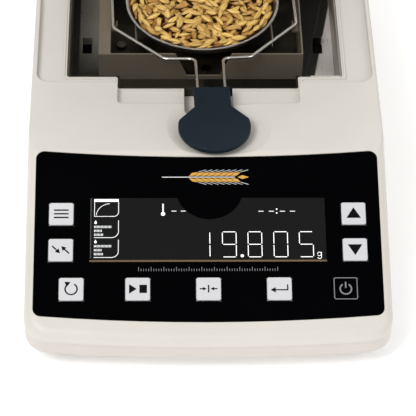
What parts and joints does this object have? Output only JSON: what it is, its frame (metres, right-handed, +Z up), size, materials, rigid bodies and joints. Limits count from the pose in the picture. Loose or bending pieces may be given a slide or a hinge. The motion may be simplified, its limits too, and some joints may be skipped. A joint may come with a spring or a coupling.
{
  "type": "moisture meter",
  "caption": "Bench moisture balance for grain: sloping display panel with keys, steel heating chamber with a sample pan on a wire lifter, and a hinged heater hood held open.",
  "frame": {"origin": "table level under the centre of the bounding box, with the hood open", "axes": "+X to the instrument's right as its user sees it, +Y to the rear, +Z up"},
  "size_m": [0.215, 0.4122, 0.2863],
  "materials": {
    "upper_housing": "warm white moulded ABS, fine texture",
    "base_tray": "warm white moulded ABS, fine texture",
    "casing_screws": "zinc-plated steel",
    "display_panel": "glossy black printed acrylic",
    "display_window": "dark tinted acrylic",
    "lcd_module": "negative liquid crystal glass",
    "display_board": "green circuit board",
    "key_switches": "black tact switches",
    "chamber_tub": "polished stainless steel, browned by heat",
    "draught_shield": "polished stainless steel, browned by heat",
    "chamber_screws": "stainless steel",
    "load_cell": "machined aluminium",
    "cell_bracket": "machined aluminium",
    "main_board": "green circuit board",
    "power_supply_board": "green circuit board",
    "mains_inlet": "black moulded nylon",
    "serial_port": "nickel-plated shell",
    "usb_port": "nickel-plated shell",
    "bubble_level": "green vial in a clear case",
    "hood_sensor": "black reed sensor",
    "front_foot_left": "black rubber",
    "front_foot_right": "black rubber",
    "hinge_brackets": "stainless steel",
    "hinge_pins": "ground steel",
    "key_reset": "pale grey-white moulded key",
    "key_start_stop": "pale grey-white moulded key",
    "key_tare": "pale grey-white moulded key",
    "key_enter": "pale grey-white moulded key",
    "key_power": "pale grey-white moulded key",
    "key_menu": "pale grey-white moulded key",
    "key_arrows": "pale grey-white moulded key",
    "key_up": "pale grey-white moulded key",
    "key_down": "pale grey-white moulded key",
    "pan_support": "stainless steel",
    "lifter_wire": "bright stainless wire",
    "lifter_handle": "dark blue-grey moulded plastic",
    "sample_pan": "thin pressed aluminium foil",
    "grain_sample": "golden cereal grain",
    "hood_shell": "warm white moulded plastic",
    "hood_window": "clear heat-proof glass",
    "hood_handle": "dark blue-grey moulded plastic",
    "lamp_carrier": "stainless sheet",
    "reflector": "polished stainless reflector",
    "halogen_lamps": "quartz lamp tubes",
    "lamp_sockets": "white ceramic",
    "guard_grid": "stainless wire and frame",
    "temperature_sensor": "stainless probe",
    "hood_hinge_arms": "stainless steel",
    "rear_foot_left": "black rubber",
    "foot_wheel_left": "black knurled plastic on a steel stud",
    "rear_foot_right": "black rubber",
    "foot_wheel_right": "black knurled plastic on a steel stud"
  },
  "bodies": {
    "housing": {"upper_housing": "upper_housing", "base_tray": "base_tray", "casing_screws": "casing_screws", "display_panel": "display_panel", "display_window": "display_window", "lcd_module": "lcd_module", "display_board": "display_board", "key_switches": "key_switches", "chamber_tub": "chamber_tub", "draught_shield": "draught_shield", "chamber_screws": "chamber_screws", "load_cell": "load_cell", "cell_bracket": "cell_bracket", "main_board": "main_board", "power_supply_board": "power_supply_board", "mains_inlet": "mains_inlet", "serial_port": "serial_port", "usb_port": "usb_port", "bubble_level": "bubble_level", "hood_sensor": "hood_sensor", "front_foot_left": "front_foot_left", "front_foot_right": "front_foot_right", "hinge_brackets": "hinge_brackets", "hinge_pins": "hinge_pins"},
    "key_reset_cap": {"key_reset": "key_reset"},
    "key_start_stop_cap": {"key_start_stop": "key_start_stop"},
    "key_tare_cap": {"key_tare": "key_tare"},
    "key_enter_cap": {"key_enter": "key_enter"},
    "key_power_cap": {"key_power": "key_power"},
    "key_menu_cap": {"key_menu": "key_menu"},
    "key_arrows_cap": {"key_arrows": "key_arrows"},
    "key_up_cap": {"key_up": "key_up"},
    "key_down_cap": {"key_down": "key_down"},
    "weighing_platform": {"pan_support": "pan_support"},
    "pan_lifter": {"lifter_wire": "lifter_wire", "lifter_handle": "lifter_handle"},
    "filled_pan": {"sample_pan": "sample_pan", "grain_sample": "grain_sample"},
    "hood": {"hood_shell": "hood_shell", "hood_window": "hood_window", "hood_handle": "hood_handle", "lamp_carrier": "lamp_carrier", "reflector": "reflector", "halogen_lamps": "halogen_lamps", "lamp_sockets": "lamp_sockets", "guard_grid": "guard_grid", "temperature_sensor": "temperature_sensor", "hood_hinge_arms": "hood_hinge_arms"},
    "foot_pad_left": {"rear_foot_left": "rear_foot_left"},
    "foot_screw_left": {"foot_wheel_left": "foot_wheel_left"},
    "foot_pad_right": {"rear_foot_right": "rear_foot_right"},
    "foot_screw_right": {"foot_wheel_right": "foot_wheel_right"}
  },
  "joints": [
    {"name": "key_reset_press", "type": "slide", "parent": "housing", "child": "key_reset_cap", "axis": [0, -0.3391, 0.9408], "range_m": [-0.0005, 0], "stiffness_N_per_m": 600, "springref_m": 0.0002},
    {"name": "key_start_stop_press", "type": "slide", "parent": "housing", "child": "key_start_stop_cap", "axis": [0, -0.3391, 0.9408], "range_m": [-0.0005, 0], "stiffness_N_per_m": 600, "springref_m": 0.0002},
    {"name": "key_tare_press", "type": "slide", "parent": "housing", "child": "key_tare_cap", "axis": [0, -0.3391, 0.9408], "range_m": [-0.0005, 0], "stiffness_N_per_m": 600, "springref_m": 0.0002},
    {"name": "key_enter_press", "type": "slide", "parent": "housing", "child": "key_enter_cap", "axis": [0, -0.3391, 0.9408], "range_m": [-0.0005, 0], "stiffness_N_per_m": 600, "springref_m": 0.0002},
    {"name": "key_power_press", "type": "slide", "parent": "housing", "child": "key_power_cap", "axis": [0, -0.3391, 0.9408], "range_m": [-0.0005, 0], "stiffness_N_per_m": 600, "springref_m": 0.0002},
    {"name": "key_menu_press", "type": "slide", "parent": "housing", "child": "key_menu_cap", "axis": [0, -0.3391, 0.9408], "range_m": [-0.0005, 0], "stiffness_N_per_m": 600, "springref_m": 0.0002},
    {"name": "key_arrows_press", "type": "slide", "parent": "housing", "child": "key_arrows_cap", "axis": [0, -0.3391, 0.9408], "range_m": [-0.0005, 0], "stiffness_N_per_m": 600, "springref_m": 0.0002},
    {"name": "key_up_press", "type": "slide", "parent": "housing", "child": "key_up_cap", "axis": [0, -0.3391, 0.9408], "range_m": [-0.0005, 0], "stiffness_N_per_m": 600, "springref_m": 0.0002},
    {"name": "key_down_press", "type": "slide", "parent": "housing", "child": "key_down_cap", "axis": [0, -0.3391, 0.9408], "range_m": [-0.0005, 0], "stiffness_N_per_m": 600, "springref_m": 0.0002},
    {"name": "weighing_travel", "type": "slide", "parent": "housing", "child": "weighing_platform", "axis": [0, 0, 1], "range_m": [-0.0004, 0], "stiffness_N_per_m": 5000, "springref_m": 0.0001},
    {"name": "lifter_lift", "type": "slide", "parent": "housing", "child": "pan_lifter", "axis": [0, 0, 1], "range_m": [0, 0.06]},
    {"name": "pan_lift_off", "type": "slide", "parent": "pan_lifter", "child": "filled_pan", "axis": [0, 0, 1], "range_m": [0, 0.03]},
    {"name": "hood_hinge", "type": "hinge", "parent": "housing", "child": "hood", "pos_m": [0, 0.1364, 0.088], "axis": [-1, 0, 0], "range_deg": [-85, 0]},
    {"name": "foot_height_left", "type": "slide", "parent": "housing", "child": "foot_pad_left", "axis": [0, 0, 1], "range_m": [-0.006, 0]},
    {"name": "foot_turn_left", "type": "hinge", "parent": "foot_pad_left", "child": "foot_screw_left", "pos_m": [-0.085, 0.1154, 0.009], "axis": [0, 0, 1], "range_deg": [-2160.5, 0]},
    {"name": "foot_height_right", "type": "slide", "parent": "housing", "child": "foot_pad_right", "axis": [0, 0, 1], "range_m": [-0.006, 0]},
    {"name": "foot_turn_right", "type": "hinge", "parent": "foot_pad_right", "child": "foot_screw_right", "pos_m": [0.085, 0.1154, 0.009], "axis": [0, 0, 1], "range_deg": [-2160.5, 0]}
  ],
  "couplings": [
    {"joint": "foot_turn_left", "follows": "foot_height_left", "rad_per_m": 6283.2},
    {"joint": "foot_turn_right", "follows": "foot_height_right", "rad_per_m": 6283.2}
  ]
}
